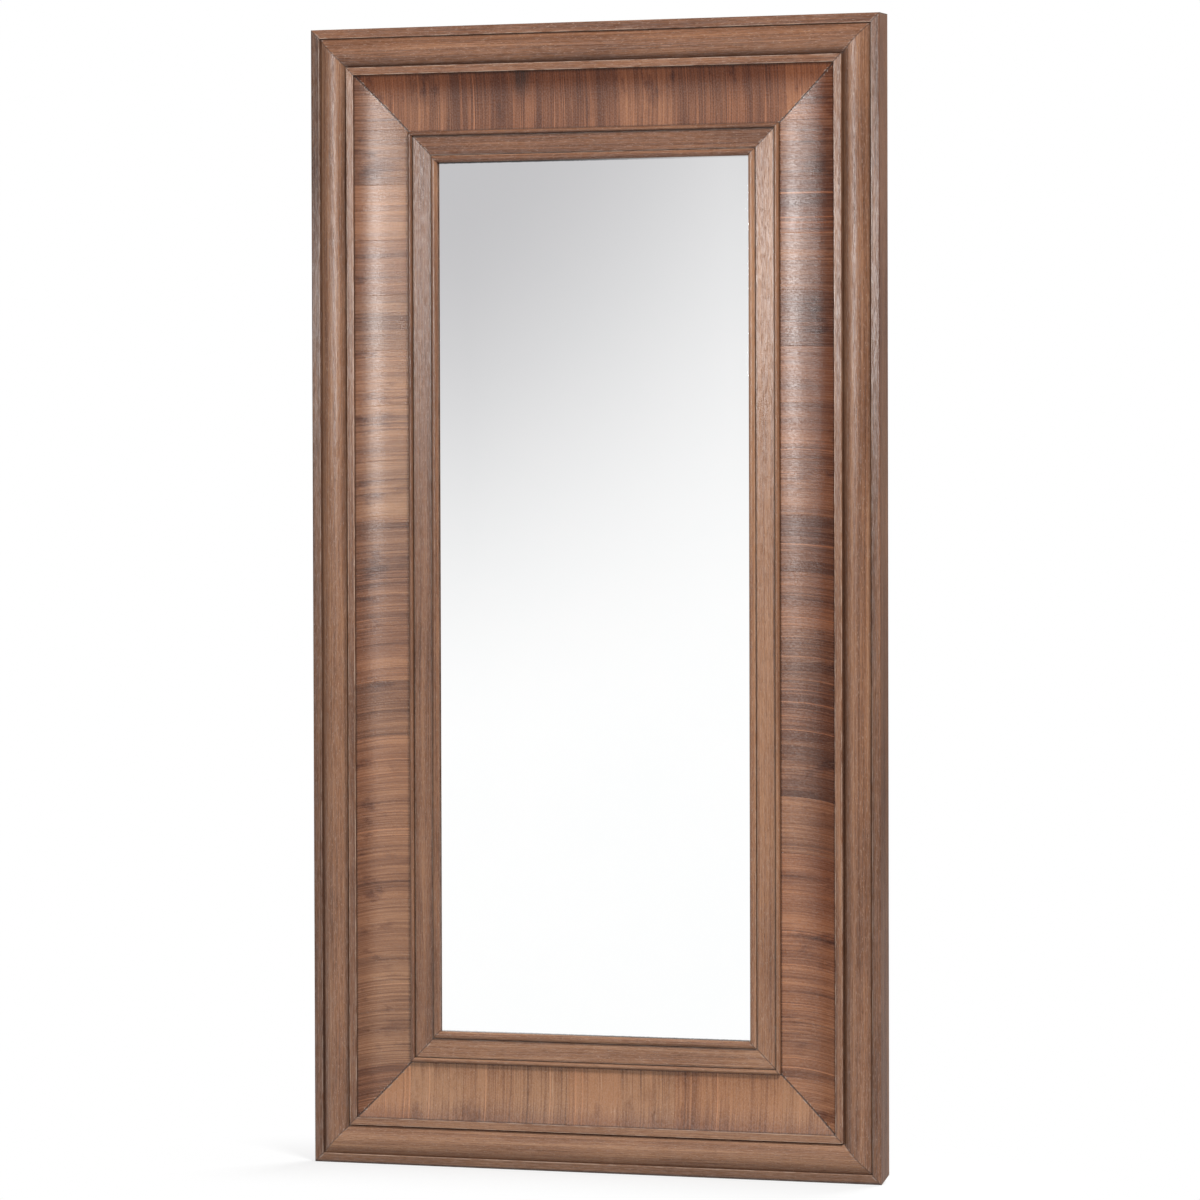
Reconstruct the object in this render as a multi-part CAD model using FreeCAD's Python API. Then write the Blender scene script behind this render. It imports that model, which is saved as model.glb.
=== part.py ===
import FreeCAD, Part
import math
import os

# Large rectangular wall and floor mirror in a mitred walnut frame.
# Origin: middle of the outline on the wall plane. +Z up, +Y into the wall, so the front faces -Y.
# A profile is drawn as (inset, height) pairs: inset runs from the frame's outer edge towards the
# glass, and height runs from the wall plane towards the viewer. All lengths are in millimetres.

# Overall outline
frame_width = 1067.0
frame_height = 2032.0

# Outer moulding: flat lip, rounded torus between two quirks, flat fillet
lip_width = 16.0
lip_edge_radius = 1.5
torus_width = 53.3
torus_rise = 6.5
quirk_depth = 4.0
quirk_width = 1.0
fillet_width = 13.4
fillet_rise = 3.0
rim_width = 28.0

# Veneered cove
cove_width = 103.0
cove_step = 4.0
cove_drop = 9.0
cove_run_out = 24.0
core_least = 10.6
cove_arc_count = 10
veneer_thickness = 0.8
veneer_leaf_width = 100.0
glue_line = 0.1

# Sight moulding: bead, flat and sight bead over the glass
bead_width = 7.5
groove_width = 1.2
groove_depth = 1.5
flat_width = 33.9
flat_drop = 5.5
sight_bead_width = 11.8
sight_crest_inset = 4.6
sight_shoulder_drop = 3.0
sight_edge_drop = 4.5
sight_reveal = 10.0

# Glass and its backing
glass_thickness = 6.0
glass_overlap = 8.0
glass_play = 2.0
glass_clearance = 0.2
board_thickness = 5.5
batten_width = 30.0
batten_thickness = 10.0
batten_play = 1.0

# Back frame, set in from the wall plane
back_recess = 7.0
back_rail_thickness = 18.0
back_rail_clearance = 0.3
back_rail_seat = 21.0
foot_bevel_angle = 16.0

# Joinery inside the frame
biscuit_clearance = 0.2
moulding_biscuit_length = 50.0
moulding_biscuit_width = 18.0
moulding_biscuit_thickness = 4.0
moulding_biscuit_setback = 10.0
sight_biscuit_length = 30.0
sight_biscuit_width = 14.0
sight_biscuit_thickness = 3.0
sight_biscuit_setback = 6.0
dowel_diameter = 6.0
dowel_length = 36.0
dowel_clearance = 0.1
dowel_end_margin = 42.0

# Screws
screw_clearance = 0.1
drive_slot_width = 1.0
drive_slot_depth = 1.2
drive_slot_share = 0.6
rail_screw_head = 8.0
rail_screw_shank = 4.0
rail_screw_length = 30.0
rail_screw_pitch = 300.0
rail_screw_margin = 26.0
rail_screw_end = 112.0
batten_screw_head = 7.0
batten_screw_shank = 3.5
batten_screw_length = 18.0
batten_screw_pitch = 310.0
batten_screw_margin = 60.0
hanger_screw_head = 8.0
hanger_screw_head_height = 2.0
hanger_screw_shank = 4.0
hanger_screw_length = 13.5
screw_tip_share = 0.25

# Hangers: a folded strap and a D-shaped ring that swings in it
hanger_drop = 420.0
strap_thickness = 1.2
strap_width = 20.0
strap_length = 40.0
strap_first_hole = 13.0
strap_hole_spacing = 17.0
ring_wire = 3.2
ring_pin_play = 0.2
ring_side_play = 0.6
ring_corner_radius = 4.0
ring_leg = 38.0

# Extra reach of the solids that only cut or trim
cutter_margin = 5.0

# Worked out from the sizes above
outer_width = lip_width + torus_width + fillet_width
sight_start = outer_width + cove_width
sight_width = bead_width + groove_width + flat_width + groove_width + sight_bead_width
rail_width = sight_start + sight_width
rail_front = back_recess + back_rail_thickness
cove_lay = veneer_thickness + glue_line
cove_floor = rail_front + core_least + cove_lay
cove_edge = cove_floor + cove_drop
fillet_front = cove_edge + cove_step
side_depth = fillet_front - fillet_rise
torus_root = side_depth - quirk_depth
torus_front = side_depth + torus_rise
cove_reach = cove_width - cove_run_out
cove_radius = (cove_reach ** 2 + cove_drop ** 2) / (2.0 * cove_drop)
cove_centre = sight_start - cove_run_out
glass_front = rail_front + board_thickness + glass_thickness
sight_crest = glass_front + sight_reveal
flat_front = sight_crest - flat_drop
groove_floor = flat_front - groove_depth
rabbet_floor = glass_front + glass_clearance
rabbet_wall = rail_width - glass_overlap - glass_play
back_rail_outer = rim_width + back_rail_clearance
back_rail_inner = sight_start + back_rail_seat
batten_outer = back_rail_inner + batten_play
batten_inner = batten_outer + batten_width
hanger_inset = (back_rail_outer + back_rail_inner) / 2.0
loop_bore = ring_wire / 2.0 + ring_pin_play
loop_radius = loop_bore + strap_thickness
pin_height = back_recess - loop_radius
strap_front = back_recess - 2.0 * strap_thickness

ORIGIN = FreeCAD.Vector(0, 0, 0)
X_AXIS = FreeCAD.Vector(1, 0, 0)
Y_AXIS = FreeCAD.Vector(0, 1, 0)
Z_AXIS = FreeCAD.Vector(0, 0, 1)
TOWARDS_FRONT = FreeCAD.Vector(0, -1, 0)

# Each side of the frame is drawn as the top one and turned about Y:
# the turn in degrees, the length along the side and the span across the frame.
SIDES = {
    "top": (0.0, frame_width, frame_height),
    "right": (90.0, frame_height, frame_width),
    "bottom": (180.0, frame_width, frame_height),
    "left": (270.0, frame_height, frame_width),
}
UPRIGHTS = ("left", "right")
MITRE_ANGLE = 45.0
CORNERS = [(across, up) for across in (-1, 1) for up in (-1, 1)]


def turned(shape, side):
    """The shape, drawn for the top side, at its own side of the frame."""
    shape.rotate(ORIGIN, Y_AXIS, SIDES[side][0])
    return shape


def section(outline, side, station):
    """Face of a profile at one station along the side. A step is a point, or an arc's middle and end."""
    outer_edge = SIDES[side][2] / 2.0

    def spot(pair):
        return FreeCAD.Vector(station, -pair[1], outer_edge - pair[0])

    edges = []
    here = outline[0]
    for step in outline[1:] + [outline[0]]:
        if isinstance(step[0], tuple):
            middle, there = step
            edges.append(Part.Arc(spot(here), spot(middle), spot(there)).toShape())
        else:
            there = step
            edges.append(Part.LineSegment(spot(here), spot(there)).toShape())
        here = there
    return Part.Face(Part.Wire(edges))


def bar(outline, side, start, end):
    """Straight run of a profile along the top side, between two stations."""
    return section(outline, side, start).extrude(X_AXIS * (end - start))


def mitre_block(side):
    """Trapezium that trims the ends of a side at 45 degrees from the frame's corners."""
    turn, length, span = SIDES[side]
    inset = rail_width + cutter_margin
    back = cutter_margin
    half = length / 2.0
    edge = span / 2.0
    corners = [(-half, edge), (half, edge), (half - inset, edge - inset), (inset - half, edge - inset)]
    points = [FreeCAD.Vector(x, back, z) for x, z in corners]
    outline = Part.makePolygon(points + points[:1])
    return Part.Face(outline).extrude(TOWARDS_FRONT * (torus_front + 2.0 * cutter_margin))


def mitred(outline, side):
    """Full side of a profile with both ends mitred, turned into place."""
    half = SIDES[side][1] / 2.0
    return turned(bar(outline, side, -half, half).common(mitre_block(side)), side)


def block(low, high):
    """Box between two corners given as (x, height above the wall plane, z)."""
    size = [b - a for a, b in zip(low, high)]
    return Part.makeBox(*size).translated(FreeCAD.Vector(low[0], -high[1], low[2]))


def strip(side, start, end, insets, heights):
    """Square-ended rectangular strip along a side, turned into place."""
    outer, inner = insets
    back, front = heights
    outline = [(outer, back), (outer, front), (inner, front), (inner, back)]
    return turned(bar(outline, side, start, end), side)


def spread(half_length, pitch):
    """Evenly spaced stations from end to end, about one pitch apart."""
    count = max(1, round(2.0 * half_length / pitch))
    return [half_length * (2.0 * i / count - 1.0) for i in range(count + 1)]


def rod(radius, start, direction, length):
    return Part.makeCylinder(radius, length, start, direction)


def joined(shapes):
    return shapes[0].fuse(shapes[1:]).removeSplitter()


def cut_by(shape, cutters):
    return shape.cut(Part.makeCompound(cutters)) if cutters else shape


# Profiles

def outer_moulding_outline():
    corner = lip_edge_radius * (1.0 - math.sqrt(0.5))
    torus_start = lip_width + quirk_width
    torus_end = lip_width + torus_width - quirk_width
    fillet_start = lip_width + torus_width
    return [
        (0.0, 0.0),
        (0.0, side_depth - lip_edge_radius),
        ((corner, side_depth - corner), (lip_edge_radius, side_depth)),
        (lip_width, side_depth),
        (lip_width, torus_root),
        (torus_start, torus_root),
        (((torus_start + torus_end) / 2.0, torus_front), (torus_end, torus_root)),
        (fillet_start, torus_root),
        (fillet_start, fillet_front),
        (outer_width, fillet_front),
        (outer_width, rail_front),
        (rim_width, rail_front),
        (rim_width, 0.0),
    ]


def cove_height(inset, below):
    """Height of the cove's curve, a given distance below its show face."""
    radius = cove_radius + below
    return cove_floor + cove_radius - math.sqrt(radius ** 2 - (cove_centre - inset) ** 2)


def cove_core_outline():
    """The curve is drawn as short arcs end to end, so that a coarse mesh of it stays under the veneer."""
    arc_width = cove_width / cove_arc_count
    arcs = []
    for i in range(cove_arc_count):
        middle = outer_width + (i + 0.5) * arc_width
        end = outer_width + (i + 1) * arc_width
        arcs.append(((middle, cove_height(middle, cove_lay)), (end, cove_height(end, cove_lay))))
    start = (outer_width, cove_height(outer_width, cove_lay))
    return [(outer_width, rail_front), start] + arcs + [(sight_start, rail_front)]


def cove_veneer_outline():
    start = outer_width + glue_line
    end = sight_start - glue_line
    below = veneer_thickness
    return [
        (start, cove_height(start, below)),
        ((cove_centre, cove_height(cove_centre, below)), (end, cove_height(end, below))),
        (end, cove_height(end, 0.0)),
        ((cove_centre, cove_height(cove_centre, 0.0)), (start, cove_height(start, 0.0))),
    ]


def sight_moulding_outline():
    bead_radius = bead_width / 2.0
    bead_shoulder = sight_crest - bead_radius
    bead_end = sight_start + bead_width
    flat_start = bead_end + groove_width
    flat_end = flat_start + flat_width
    sight_bead = flat_end + groove_width
    return [
        (sight_start, rail_front),
        (sight_start, bead_shoulder),
        ((sight_start + bead_radius, sight_crest), (bead_end, bead_shoulder)),
        (bead_end, groove_floor),
        (flat_start, groove_floor),
        (flat_start, flat_front),
        (flat_end, flat_front),
        (flat_end, groove_floor),
        (sight_bead, groove_floor),
        (sight_bead, sight_crest - sight_shoulder_drop),
        ((sight_bead + sight_crest_inset, sight_crest), (rail_width, sight_crest - sight_edge_drop)),
        (rail_width, rabbet_floor),
        (rabbet_wall, rabbet_floor),
        (rabbet_wall, rail_front),
    ]


# Joinery and fasteners

def biscuit(across, up, inset, height, size, fit):
    """Flat spline lying across one corner's mitre. size is its length, thickness and width."""
    length, thickness, width = [measure + 2.0 * fit for measure in size]
    plate = Part.makeBox(length, thickness, width)
    plate.translate(FreeCAD.Vector(-length / 2.0, -thickness / 2.0, -width / 2.0))
    plate.rotate(ORIGIN, Y_AXIS, -MITRE_ANGLE * across * up)
    x = across * (frame_width / 2.0 - inset)
    z = up * (frame_height / 2.0 - inset)
    return plate.translated(FreeCAD.Vector(x, -height, z))


def moulding_biscuits(fit):
    inset = (rim_width + outer_width) / 2.0
    size = (moulding_biscuit_length, moulding_biscuit_thickness, moulding_biscuit_width)
    height = rail_front + moulding_biscuit_setback
    return [biscuit(across, up, inset, height, size, fit) for across, up in CORNERS]


def sight_biscuits(fit):
    inset = (sight_start + rabbet_wall) / 2.0
    size = (sight_biscuit_length, sight_biscuit_thickness, sight_biscuit_width)
    height = rail_front + sight_biscuit_setback
    return [biscuit(across, up, inset, height, size, fit) for across, up in CORNERS]


def back_frame_dowels(fit):
    """Two dowels in each butt joint between a back rail and a back stile."""
    radius = dowel_diameter / 2.0 + fit
    length = dowel_length + 2.0 * fit
    joint = frame_width / 2.0 - back_rail_inner
    height = back_recess + back_rail_thickness / 2.0
    insets = (back_rail_outer + dowel_end_margin, back_rail_inner - dowel_end_margin)
    dowels = []
    for across, up in CORNERS:
        for inset in insets:
            start = FreeCAD.Vector(across * joint - length / 2.0, -height, up * (frame_height / 2.0 - inset))
            dowels.append(rod(radius, start, X_AXIS, length))
    return dowels


def pointed_shank(radius, length):
    """Shank from the origin towards the front, with a blunt cone as long as its radius at the tip."""
    straight = length - radius
    tip_start = TOWARDS_FRONT * straight
    return joined([
        rod(radius, ORIGIN, TOWARDS_FRONT, straight),
        Part.makeCone(radius, radius * screw_tip_share, radius, tip_start, TOWARDS_FRONT),
    ])


def countersunk_screw(head, shank, length, fit):
    """Screw pointing to the front with its head's face at the origin. A fit above 0 gives its hole."""
    head_radius = head / 2.0 + fit
    shank_radius = shank / 2.0 + fit
    head_height = head_radius - shank_radius
    neck = TOWARDS_FRONT * head_height
    body = joined([
        Part.makeCone(head_radius, shank_radius, head_height, ORIGIN, TOWARDS_FRONT),
        pointed_shank(shank_radius, length + fit - head_height).translated(neck),
    ])
    return body if fit else body.cut(drive_cross(head))


def drive_cross(head):
    """Crossed slots of a screw head whose face is at the origin."""
    arm = head * drive_slot_share / 2.0
    half = drive_slot_width / 2.0
    return block((-arm, 0.0, -half), (arm, drive_slot_depth, half)).fuse(
        block((-half, 0.0, -arm), (half, drive_slot_depth, arm)))


def pan_head_screw(fit):
    """Hanger screw whose head bears on the strap at the origin. A fit above 0 gives its hole."""
    shank = pointed_shank(hanger_screw_shank / 2.0 + fit, hanger_screw_length + fit)
    if fit:
        return shank
    rise = hanger_screw_head_height
    head_back = Y_AXIS * rise
    base_radius = hanger_screw_head / 2.0
    head = Part.makeCone(base_radius - rise / 2.0, base_radius, rise, head_back, TOWARDS_FRONT)
    return joined([head, shank]).cut(drive_cross(hanger_screw_head).translated(head_back))


def screws_along(side, half_length, pitch, inset, height, screw):
    """Copies of a screw along one side, turned into place."""
    edge = SIDES[side][2] / 2.0
    return [turned(screw.translated(FreeCAD.Vector(station, -height, edge - inset)), side)
            for station in spread(half_length, pitch)]


def rail_screws(fit):
    """Screws that hold the back frame to the outer mouldings and to the sight mouldings."""
    screw = countersunk_screw(rail_screw_head, rail_screw_shank, rail_screw_length, fit)
    outer_row = back_rail_outer + rail_screw_margin
    inner_row = sight_start + (back_rail_inner - sight_start) / 2.0
    outer, inner = [], []
    for side, (turn, length, span) in SIDES.items():
        inner_half = length / 2.0 - back_rail_inner - rail_screw_margin
        outer_half = length / 2.0 - rail_screw_end if side in UPRIGHTS else inner_half
        outer += screws_along(side, outer_half, rail_screw_pitch, outer_row, back_recess, screw)
        inner += screws_along(side, inner_half, rail_screw_pitch, inner_row, back_recess, screw)
    return outer, inner


def batten_screws(fit):
    """Screws that hold the glazing battens to the backs of the sight mouldings."""
    screw = countersunk_screw(batten_screw_head, batten_screw_shank, batten_screw_length, fit)
    inset = (batten_outer + rabbet_wall) / 2.0
    height = rail_front - batten_thickness
    screws = []
    for side, (turn, length, span) in SIDES.items():
        half = length / 2.0 - batten_inner - batten_screw_margin
        screws += screws_along(side, half, batten_screw_pitch, inset, height, screw)
    return screws


# Hangers

def hanger_spot(across):
    """Middle of a hanger's pin on the back stile of one side."""
    x = across * (frame_width / 2.0 - hanger_inset)
    return FreeCAD.Vector(x, -pin_height, frame_height / 2.0 - hanger_drop)


def hanger_screws(across, fit):
    screw = pan_head_screw(fit)
    pin = hanger_spot(across)
    holes = (strap_first_hole, strap_first_hole + strap_hole_spacing)
    return [screw.translated(FreeCAD.Vector(pin.x, -strap_front, pin.z - drop)) for drop in holes]


def hanger_strap(across):
    """Folded strap: a flat with a round end, and a loop round the ring's straight bar."""
    half = strap_width / 2.0
    loop = rod(loop_radius, X_AXIS * -half, X_AXIS, strap_width)
    flat = block((-half, strap_front - pin_height, half - strap_length),
                 (half, back_recess - pin_height, 0.0))
    end = rod(half, FreeCAD.Vector(0, pin_height - strap_front, half - strap_length), TOWARDS_FRONT,
              2.0 * strap_thickness)
    bore = rod(loop_bore, X_AXIS * -(half + cutter_margin), X_AXIS, strap_width + 2.0 * cutter_margin)
    strap = joined([loop, flat, end]).cut(bore).translated(hanger_spot(across))
    return cut_by(strap, hanger_screws(across, screw_clearance))


def hanger_ring(across):
    """D-shaped wire ring, hanging down from its straight bar."""
    half_bar = strap_width / 2.0 + ring_side_play
    half_width = half_bar + ring_corner_radius
    radius = ring_wire / 2.0
    disc = Part.Face(Part.Wire(Part.makeCircle(radius, ORIGIN, X_AXIS)))
    foot = Part.Face(Part.Wire(Part.makeCircle(radius, FreeCAD.Vector(half_width, 0, -ring_leg), Z_AXIS)))
    pieces = [rod(radius, X_AXIS * -half_bar, X_AXIS, 2.0 * half_bar)]
    for way in (-1, 1):
        corner = FreeCAD.Vector(way * half_bar, 0, -ring_corner_radius)
        end = disc.translated(X_AXIS * (way * half_bar))
        pieces.append(end.revolve(corner, Y_AXIS, way * 90.0))
        leg_top = FreeCAD.Vector(way * half_width, 0, -ring_corner_radius)
        pieces.append(rod(radius, leg_top, Z_AXIS * -1.0, ring_leg - ring_corner_radius))
    pieces.append(foot.revolve(Z_AXIS * -ring_leg, Y_AXIS, 180.0))
    return joined(pieces).translated(hanger_spot(across))


# The pieces

def foot_cutter():
    """Wedge under the frame, which lets it stand flat when it leans back."""
    low = -frame_height / 2.0
    toe = side_depth - lip_edge_radius
    rise = (toe + cutter_margin) * math.tan(math.radians(foot_bevel_angle))
    left = -frame_width / 2.0 - cutter_margin
    points = [
        FreeCAD.Vector(left, -toe, low),
        FreeCAD.Vector(left, cutter_margin, low),
        FreeCAD.Vector(left, cutter_margin, low + rise),
    ]
    outline = Part.makePolygon(points + points[:1])
    return Part.Face(outline).extrude(X_AXIS * (frame_width + 2.0 * cutter_margin))


def veneer_leaves(side):
    """Cross-grained leaves laid side by side along one cove."""
    length = SIDES[side][1] - 2.0 * outer_width
    count = max(1, round(length / veneer_leaf_width))
    pitch = length / count
    trim = mitre_block(side)
    leaves = []
    for i in range(count):
        start = -length / 2.0 + i * pitch + glue_line / 2.0
        leaf = bar(cove_veneer_outline(), side, start, start + pitch - glue_line).common(trim)
        leaves.append(turned(leaf, side))
    return Part.makeCompound(leaves)


def back_frame_member(side):
    """Back stile over the full height, or back rail between the two stiles."""
    inset = back_rail_outer if side in UPRIGHTS else back_rail_inner
    half = SIDES[side][1] / 2.0 - inset
    return strip(side, -half, half, (back_rail_outer, back_rail_inner), (back_recess, rail_front))


def glazing_batten(side):
    """Batten behind the glass: the upright ones run through and the others fit between them."""
    inset = batten_outer if side in UPRIGHTS else batten_inner + batten_play
    half = SIDES[side][1] / 2.0 - inset
    return strip(side, -half, half, (batten_outer, batten_inner), (rail_front - batten_thickness, rail_front))


def sheet(front, thickness):
    """Rectangular sheet that fills the rabbet, with its play all round."""
    half_width = frame_width / 2.0 - rail_width + glass_overlap
    half_height = frame_height / 2.0 - rail_width + glass_overlap
    return block((-half_width, front - thickness, -half_height), (half_width, front, half_height))


def build():
    outer_holes, inner_holes = rail_screws(screw_clearance)
    batten_holes = batten_screws(screw_clearance)
    hanger_holes = hanger_screws(-1, screw_clearance) + hanger_screws(1, screw_clearance)
    dowel_holes = back_frame_dowels(dowel_clearance)
    foot = foot_cutter()
    parts = {}
    for side in SIDES:
        moulding = mitred(outer_moulding_outline(), side).cut(foot)
        parts["outer_moulding_" + side] = cut_by(moulding, moulding_biscuits(biscuit_clearance) + outer_holes)
        parts["cove_core_" + side] = mitred(cove_core_outline(), side)
        parts["cove_veneer_" + side] = veneer_leaves(side)
        sight = mitred(sight_moulding_outline(), side)
        sight_holes = sight_biscuits(biscuit_clearance) + inner_holes + batten_holes
        parts["sight_moulding_" + side] = cut_by(sight, sight_holes)
        member = "back_stile_" if side in UPRIGHTS else "back_rail_"
        holes = outer_holes + inner_holes + dowel_holes + hanger_holes
        parts[member + side] = cut_by(back_frame_member(side), holes)
        parts["glazing_batten_" + side] = cut_by(glazing_batten(side), batten_holes)
    parts["mirror_glass"] = sheet(glass_front, glass_thickness)
    parts["backing_board"] = sheet(glass_front - glass_thickness, board_thickness)
    parts["moulding_biscuits"] = Part.makeCompound(moulding_biscuits(0.0))
    parts["sight_biscuits"] = Part.makeCompound(sight_biscuits(0.0))
    parts["back_frame_dowels"] = Part.makeCompound(back_frame_dowels(0.0))
    outer_screws, inner_screws = rail_screws(0.0)
    parts["outer_rail_screws"] = Part.makeCompound(outer_screws)
    parts["inner_rail_screws"] = Part.makeCompound(inner_screws)
    parts["batten_screws"] = Part.makeCompound(batten_screws(0.0))
    for side, across in (("left", -1), ("right", 1)):
        parts["hanger_strap_" + side] = hanger_strap(across)
        parts["hanger_ring_" + side] = hanger_ring(across)
        parts["hanger_screws_" + side] = Part.makeCompound(hanger_screws(across, 0.0))
    return parts


os.makedirs("parts", exist_ok=True)
for name, shape in build().items():
    shape.exportStep("parts/" + name + ".step")
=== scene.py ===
import math

import bmesh
import bpy
from mathutils import Matrix, Vector


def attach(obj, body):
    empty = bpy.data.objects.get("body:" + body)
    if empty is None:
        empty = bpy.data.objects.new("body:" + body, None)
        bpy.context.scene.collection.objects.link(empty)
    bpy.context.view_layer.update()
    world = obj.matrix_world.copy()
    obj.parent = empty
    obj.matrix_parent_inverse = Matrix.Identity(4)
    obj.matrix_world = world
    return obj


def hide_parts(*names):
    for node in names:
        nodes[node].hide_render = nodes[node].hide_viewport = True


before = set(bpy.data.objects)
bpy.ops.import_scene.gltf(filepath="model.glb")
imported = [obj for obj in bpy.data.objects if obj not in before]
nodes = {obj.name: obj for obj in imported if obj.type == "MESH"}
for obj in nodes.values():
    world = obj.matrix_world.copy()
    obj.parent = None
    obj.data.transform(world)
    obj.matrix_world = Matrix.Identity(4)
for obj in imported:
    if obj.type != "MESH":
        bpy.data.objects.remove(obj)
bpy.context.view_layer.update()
MM = 0.001

# Sizes of the frame's profile in millimetres, the same as those of the solids
FRAME_WIDTH, FRAME_HEIGHT = 1067.0, 2032.0
SIDE_DEPTH, TORUS_FRONT, TORUS_ROOT = 46.5, 53.0, 42.5
LIP, TORUS, OUTER = 16.0, 69.3, 82.7
LIP_ROUND, QUIRK, RIM, RAIL_FRONT = 1.5, 1.0, 28.0, 25.0
FILLET_FRONT, COVE_EDGE, COVE_FLOOR = 49.5, 45.5, 36.5
SIGHT_START, COVE_RUN_OUT, VENEER, GLUE = 185.7, 24.0, 0.8, 0.1
BEAD, GROOVE, FLAT = 7.5, 1.2, 33.9
CREST, FLAT_FRONT, GROOVE_FLOOR = 46.5, 41.0, 39.5
# The sight bead: its rise to the crest, the crest's place and the fall to the sight edge
SIGHT_RISE, SIGHT_CREST, SIGHT_FALL = 3.0, 4.6, 4.5
RAIL, RABBET_FLOOR, RABBET_WALL = 241.3, 36.7, 231.3
LEVEL_LEAF, UPRIGHT_LEAF = 100.18, 98.24
FOOT_ANGLE = 16.0

# What the meshes add, in millimetres: rounded arrises, open mitres, and the reach of wear and of painted
# shade
OUTER_ROUND, SIGHT_ROUND, LEAST_ROUND = 0.5, 0.35, 0.02
MITRE_GAP = 0.12
ARRIS_REACH, CREASE_REACH = 2.8, 4.5
HOLLOW_REACH = {"top": 18.0, "right": 24.0, "bottom": 5.0, "left": 18.0}
LIP_REACH = {"top": 3.0, "right": 9.0, "bottom": 4.0, "left": 9.0}
CORNER = math.radians(25.0)
SHARP_FACES = math.radians(40.0)
# Steps that the curves are drawn in
LIP_STEPS, TORUS_STEPS, COVE_STEPS, BEAD_STEPS, SIGHT_STEPS, ROUND_STEPS = 5, 36, 40, 16, 20, 3

# Each side is drawn as the top one and turned about Y: turn, length along the side, span across
SIDES = {
    "top": (0.0, FRAME_WIDTH, FRAME_HEIGHT),
    "right": (90.0, FRAME_HEIGHT, FRAME_WIDTH),
    "bottom": (180.0, FRAME_WIDTH, FRAME_HEIGHT),
    "left": (270.0, FRAME_HEIGHT, FRAME_WIDTH),
}


# Profiles as (inset, height) points

def arc(start, middle, end, count):
    """Points of the circle through three points, without its start."""
    (ax, ay), (bx, by), (cx, cy) = start, middle, end
    d = 2 * (ax * (by - cy) + bx * (cy - ay) + cx * (ay - by))
    a2, b2, c2 = ax * ax + ay * ay, bx * bx + by * by, cx * cx + cy * cy
    ox = (a2 * (by - cy) + b2 * (cy - ay) + c2 * (ay - by)) / d
    oy = (a2 * (cx - bx) + b2 * (ax - cx) + c2 * (bx - ax)) / d
    radius = math.hypot(ax - ox, ay - oy)
    first = math.atan2(ay - oy, ax - ox)
    turn = (math.atan2(cy - oy, cx - ox) - first + math.pi) % (2 * math.pi) - math.pi
    steps = [first + turn * i / count for i in range(1, count + 1)]
    return [(ox + radius * math.cos(t), oy + radius * math.sin(t)) for t in steps]


def eased(points, radius, share=0.45):
    """The closed outline with its sharp corners rounded, over no more than a share of each edge."""
    out = []
    for i, p in enumerate(points):
        a, b = points[i - 1], points[(i + 1) % len(points)]
        va = Vector((a[0] - p[0], a[1] - p[1]))
        vb = Vector((b[0] - p[0], b[1] - p[1]))
        bend = math.pi - va.angle(vb)
        cut = min(radius, share * va.length, share * vb.length)
        if bend < CORNER or cut < LEAST_ROUND:
            out.append(p)
            continue
        start = Vector(p) + va.normalized() * cut
        end = Vector(p) + vb.normalized() * cut
        for k in range(ROUND_STEPS + 1):
            t = k / ROUND_STEPS
            q = start * (1 - t) ** 2 + Vector(p) * 2 * t * (1 - t) + end * t ** 2
            out.append((q.x, q.y))
    return out


def dense(points, step=1.6):
    """The closed outline with points added so that none lie further apart than the step."""
    out = []
    for i, p in enumerate(points):
        q = points[(i + 1) % len(points)]
        count = max(1, math.ceil(math.dist(p, q) / step))
        out += [(p[0] + (q[0] - p[0]) * k / count, p[1] + (q[1] - p[1]) * k / count) for k in range(count)]
    return out


def corners(points):
    """Outward and inward corners of a closed outline."""
    area = sum(p[0] * q[1] - q[0] * p[1] for p, q in zip(points, points[1:] + points[:1]))
    out, inward = [], []
    for i, p in enumerate(points):
        a, b = points[i - 1], points[(i + 1) % len(points)]
        ax, ay, bx, by = p[0] - a[0], p[1] - a[1], b[0] - p[0], b[1] - p[1]
        turn = math.atan2(ax * by - ay * bx, ax * bx + ay * by)
        if abs(turn) > CORNER:
            (out if turn * area > 0 else inward).append(p)
    return out, inward


def near(point, places):
    """One at any of the places, falling to nothing at that place's reach."""
    return max([0.0] + [1.0 - math.dist(point, p) / reach for p, reach in places])


def outer_outline():
    """Side, lip, torus and fillet of the outer moulding."""
    torus_mid = (LIP + TORUS) / 2
    inset = LIP_ROUND * (1 - math.sqrt(0.5))
    points = [(0, 0), (0, SIDE_DEPTH - LIP_ROUND)]
    points += arc(points[-1], (inset, SIDE_DEPTH - inset), (LIP_ROUND, SIDE_DEPTH), LIP_STEPS)
    points += [(LIP, SIDE_DEPTH), (LIP, TORUS_ROOT), (LIP + QUIRK, TORUS_ROOT)]
    points += arc(points[-1], (torus_mid, TORUS_FRONT), (TORUS - QUIRK, TORUS_ROOT), TORUS_STEPS)
    points += [(TORUS, TORUS_ROOT), (TORUS, FILLET_FRONT), (OUTER, FILLET_FRONT)]
    points += [(OUTER, RAIL_FRONT), (RIM, RAIL_FRONT), (RIM, 0)]
    return points


def cove_height(inset, below=0.0):
    """Height of the cove's curve, or of the curve that lies so far below it."""
    centre = SIGHT_START - COVE_RUN_OUT
    reach = centre - OUTER
    drop = COVE_EDGE - COVE_FLOOR
    radius = (reach ** 2 + drop ** 2) / (2 * drop)
    return COVE_FLOOR + radius - math.sqrt((radius + below) ** 2 - (centre - inset) ** 2)


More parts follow.
